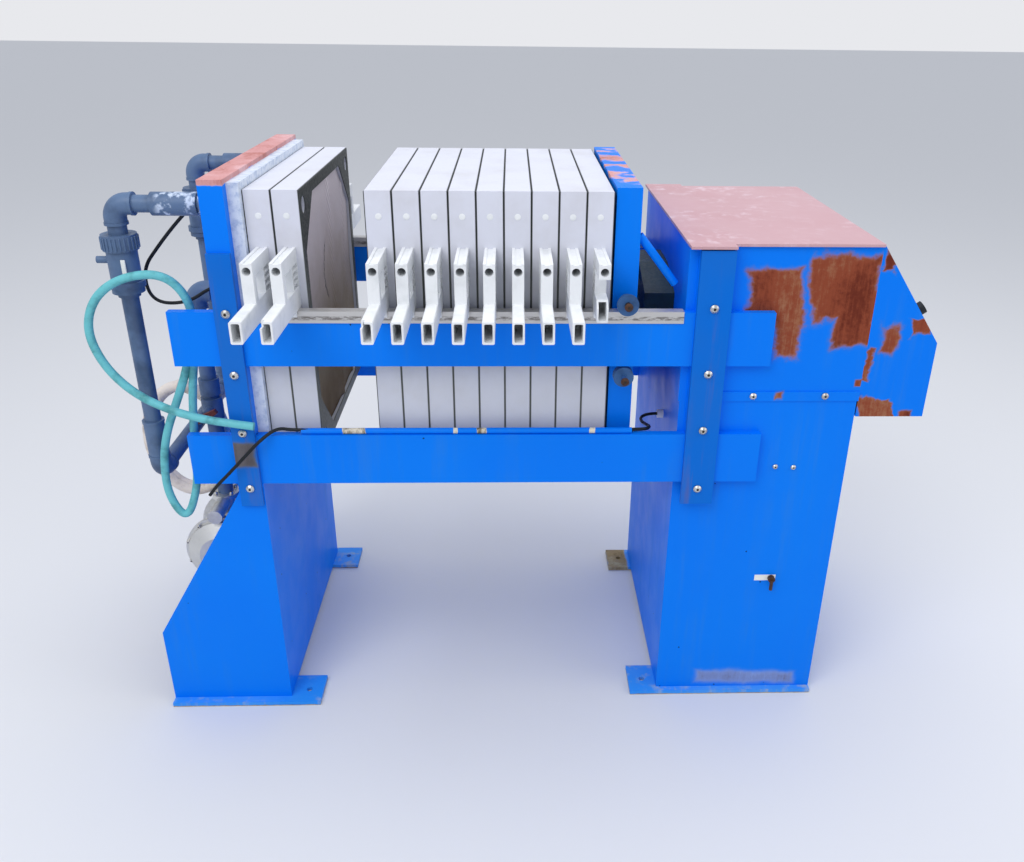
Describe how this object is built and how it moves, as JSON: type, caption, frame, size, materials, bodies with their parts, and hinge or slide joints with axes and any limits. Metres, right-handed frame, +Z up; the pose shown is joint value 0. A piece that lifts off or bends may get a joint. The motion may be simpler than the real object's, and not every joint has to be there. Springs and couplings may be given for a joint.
{
  "type": "plate filter press",
  "caption": "Manual-shift recessed plate filter press on two pedestals, with a ram-driven follower, plate pack, grey pipework and a feed pump.",
  "frame": {"origin": "on the floor under the middle of the press", "axes": "+X along the side bars from the fixed head to the hydraulic ram, +Y to the back, +Z up"},
  "size_m": [2.028, 1.15, 1.375],
  "materials": {
    "painted_blue": "satin",
    "strap_blue": "satin",
    "rusted_blue": "matte",
    "weathered_roof": "matte",
    "stainless": "brushed",
    "chrome_steel": "polished",
    "plate_plastic": "matte",
    "handle_plastic": "matte",
    "face_plastic": "matte",
    "grey_pvc": "matte",
    "roller_steel": "satin",
    "dark_steel": "matte",
    "pump_aluminium": "cast",
    "red_grip": "matte",
    "black_rubber": "matte",
    "teal_rubber": "matte",
    "cream_rubber": "matte",
    "white_plastic": "gloss"
  },
  "bodies": {
    "frame": {"cabinet_frame": "painted_blue", "cable_gland": "white_plastic", "check_valves": "grey_pvc", "coiled_hose": "cream_rubber", "conduit": "painted_blue", "cover_hems": "painted_blue", "cross_pipe": "grey_pvc", "face_plate": "face_plastic", "feed_pipe": "grey_pvc", "feed_valve": "grey_pvc", "filter_plate_01": "plate_plastic", "filter_plate_02": "plate_plastic", "fixed_head": "painted_blue", "head_straps": "strap_blue", "hydraulic_cylinder": "dark_steel", "knob": "black_rubber", "latch": "dark_steel", "left_feet": "painted_blue", "left_pedestal": "painted_blue", "lower_bars": "painted_blue", "pair_handles": "handle_plastic", "port_pipes": "grey_pvc", "pump_block": "pump_aluminium", "pump_chambers": "pump_aluminium", "rails": "stainless", "ram_cable": "black_rubber", "ram_head": "painted_blue", "ram_straps": "strap_blue", "ram_yoke": "dark_steel", "rear_hood": "rusted_blue", "right_feet": "painted_blue", "right_pedestal": "painted_blue", "risers": "grey_pvc", "roof": "weathered_roof", "sensor_cable": "black_rubber", "teal_hose": "teal_rubber", "unions": "grey_pvc", "upper_bars": "painted_blue"},
    "follower": {"follower": "painted_blue", "upper_axles": "dark_steel", "lower_rollers": "roller_steel", "ram": "chrome_steel", "lift_tube": "painted_blue"},
    "plate_pack": {"filter_plate_03": "plate_plastic", "filter_plate_04": "plate_plastic", "filter_plate_05": "plate_plastic", "filter_plate_06": "plate_plastic", "filter_plate_07": "plate_plastic", "filter_plate_08": "plate_plastic", "filter_plate_09": "plate_plastic", "filter_plate_10": "plate_plastic", "filter_plate_11": "plate_plastic", "pack_handles_front": "handle_plastic", "pack_handles_rear": "handle_plastic"},
    "roller_front": {"roller_front": "roller_steel"},
    "roller_rear": {"roller_rear": "roller_steel"},
    "valve_handle": {"valve_handle": "red_grip"}
  },
  "joints": [
    {"name": "follower_slide", "type": "slide", "parent": "frame", "child": "follower", "axis": [1, 0, 0], "range_m": [-0.131, 0]},
    {"name": "pack_slide", "type": "slide", "parent": "frame", "child": "plate_pack", "axis": [1, 0, 0], "range_m": [-0.131, 0]},
    {"name": "roller_front_spin", "type": "hinge", "parent": "follower", "child": "roller_front", "pos_m": [0.225, -0.3535, 1.1119], "axis": [0, 1, 0], "range_deg": [-430, 0]},
    {"name": "roller_rear_spin", "type": "hinge", "parent": "follower", "child": "roller_rear", "pos_m": [0.225, 0.3535, 1.1119], "axis": [0, 1, 0], "range_deg": [-430, 0]},
    {"name": "valve_turn", "type": "hinge", "parent": "frame", "child": "valve_handle", "pos_m": [-0.845, -0.062, 0.708], "axis": [0, 1, 0], "range_deg": [-61, 29]}
  ],
  "couplings": [
    {"joint": "pack_slide", "follows": "follower_slide", "ratio": 1},
    {"joint": "roller_front_spin", "follows": "follower_slide", "rad_per_m": 57.143},
    {"joint": "roller_rear_spin", "follows": "follower_slide", "rad_per_m": 57.143}
  ]
}
